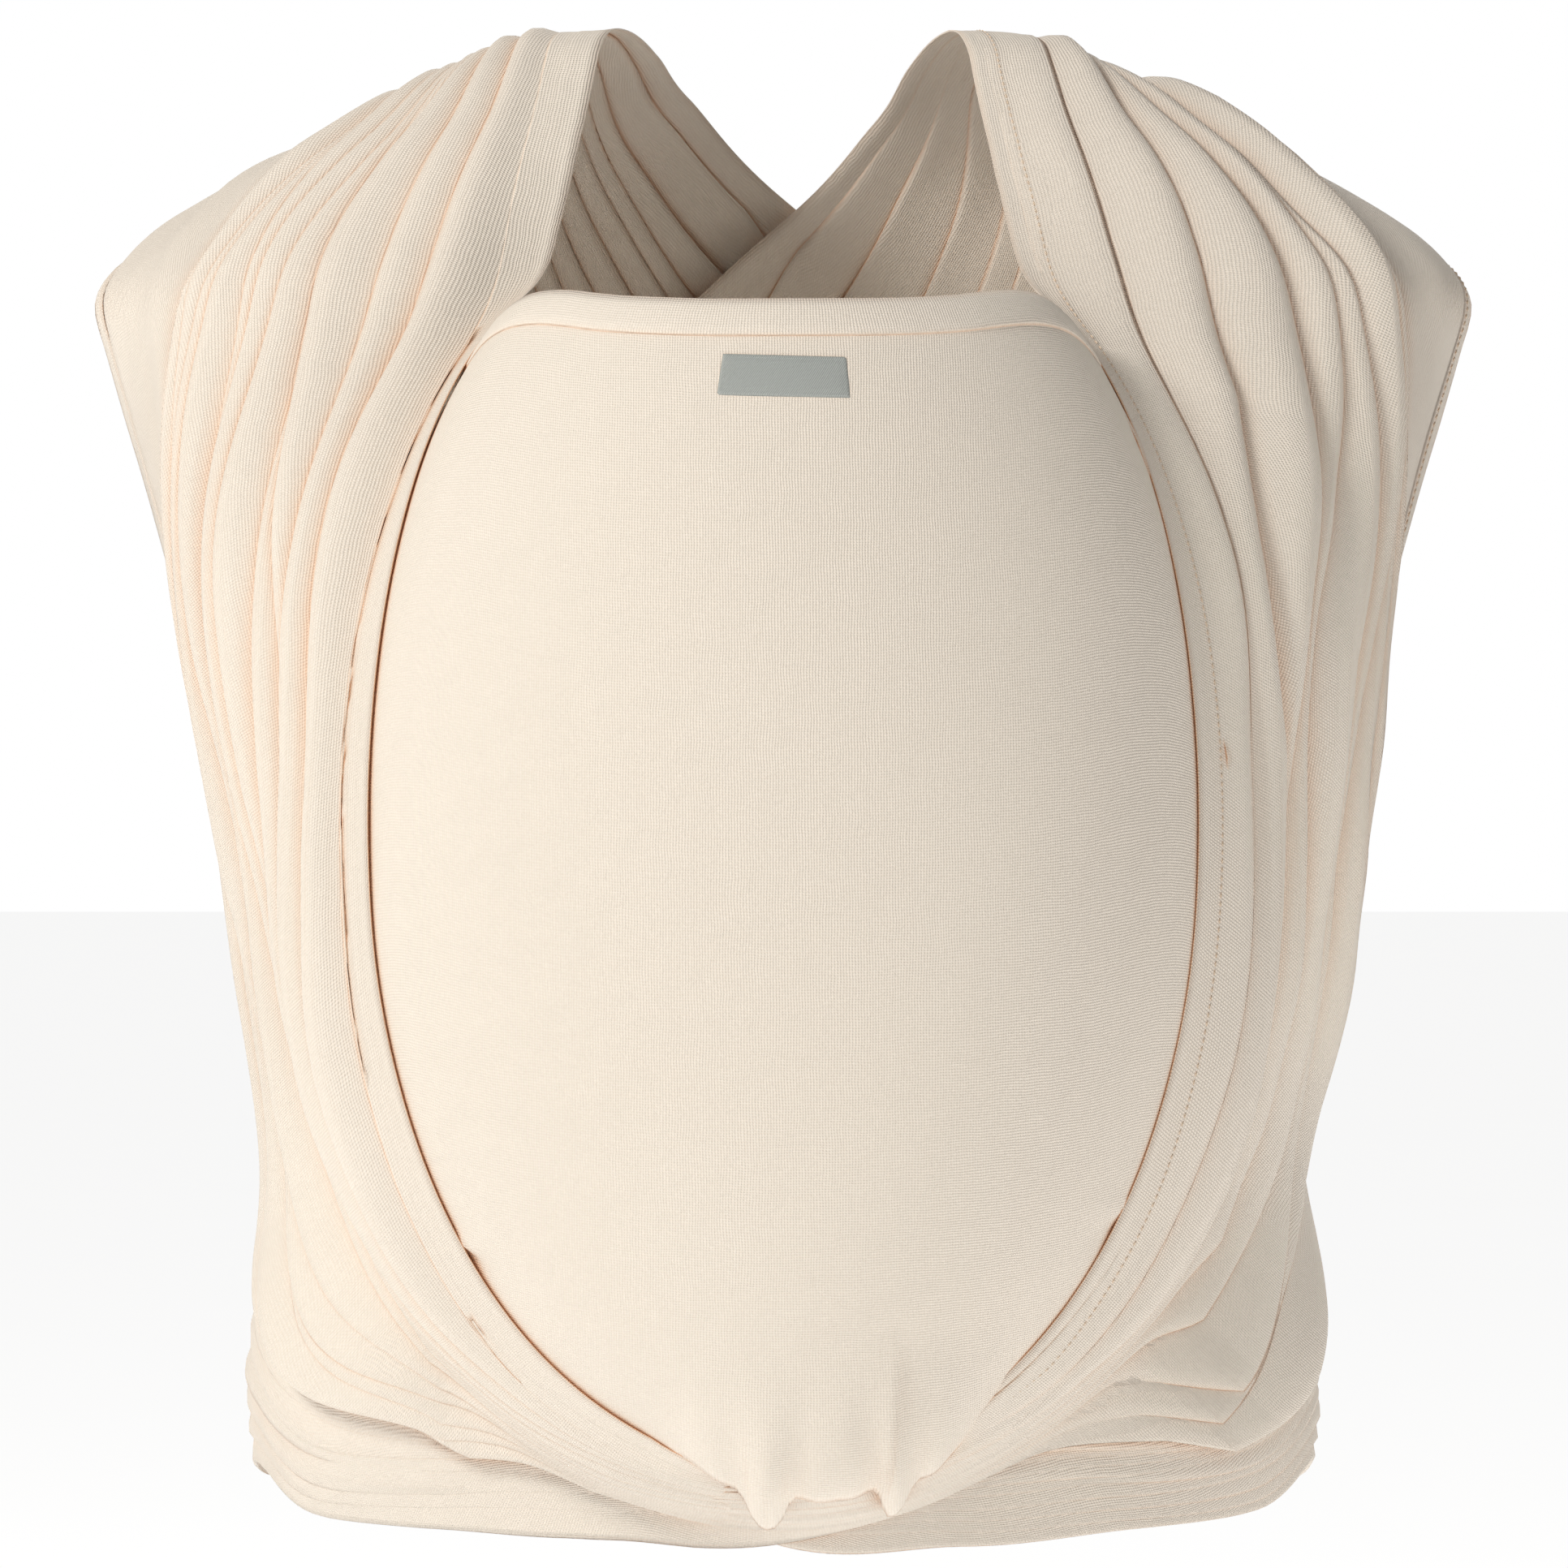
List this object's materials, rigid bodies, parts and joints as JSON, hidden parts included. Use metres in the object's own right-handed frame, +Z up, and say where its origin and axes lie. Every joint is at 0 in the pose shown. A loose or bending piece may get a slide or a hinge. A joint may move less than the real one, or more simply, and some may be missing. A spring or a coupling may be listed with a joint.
{
  "type": "baby wrap sling",
  "caption": "Long woven cloth tied as a front carry: a taut panel over the baby, pleated straps over both shoulders, crossed back passes and a knot at the lower back.",
  "frame": {"origin": "on the wearer's body axis, level with the lowest front edge of the sling", "axes": "+Z up along the wearer's body, -Y is the wearer's front, +X the wearer's left"},
  "size_m": [0.4994, 0.3602, 0.5639],
  "materials": {
    "cloth": "undyed natural cotton in a fine broken twill, matt",
    "thread": "cotton sewing thread, a shade darker than the cloth",
    "label": "grey woven satin",
    "label_thread": "pale grey sewing thread"
  },
  "bodies": {
    "root": {"front_panel": "cloth", "panel_top_hem": "cloth", "left_side_pass": "cloth", "right_side_pass": "cloth", "left_back_pass": "cloth", "right_back_pass": "cloth", "left_shoulder_pass": "cloth", "right_shoulder_pass": "cloth", "left_front_strap": "cloth", "right_front_strap": "cloth", "inner_seat_cross": "cloth", "outer_seat_cross": "cloth", "left_waist_pass": "cloth", "right_waist_pass": "cloth", "left_knot_turn": "cloth", "right_knot_turn": "cloth", "panel_hem_stitching": "thread", "label": "label", "label_stitching": "label_thread"},
    "left_cap": {"left_shoulder_cap": "cloth", "left_cap_stitching": "thread"},
    "right_cap": {"right_shoulder_cap": "cloth", "right_cap_stitching": "thread"},
    "left_tail_end": {"left_tail": "cloth"},
    "right_tail_end": {"right_tail": "cloth"}
  },
  "joints": [
    {"name": "left_cap_lift", "type": "hinge", "parent": "root", "child": "left_cap", "pos_m": [0.148, 0.015, 0.506], "axis": [0, -1, 0], "range_deg": [0, 30]},
    {"name": "right_cap_lift", "type": "hinge", "parent": "root", "child": "right_cap", "pos_m": [-0.148, 0.015, 0.506], "axis": [0, 1, 0], "range_deg": [0, 30]},
    {"name": "left_tail_swing", "type": "hinge", "parent": "root", "child": "left_tail_end", "pos_m": [0.016, 0.148, 0.068], "axis": [1, 0, 0], "range_deg": [0, 75]},
    {"name": "right_tail_swing", "type": "hinge", "parent": "root", "child": "right_tail_end", "pos_m": [-0.016, 0.148, 0.068], "axis": [1, 0, 0], "range_deg": [0, 75]}
  ]
}
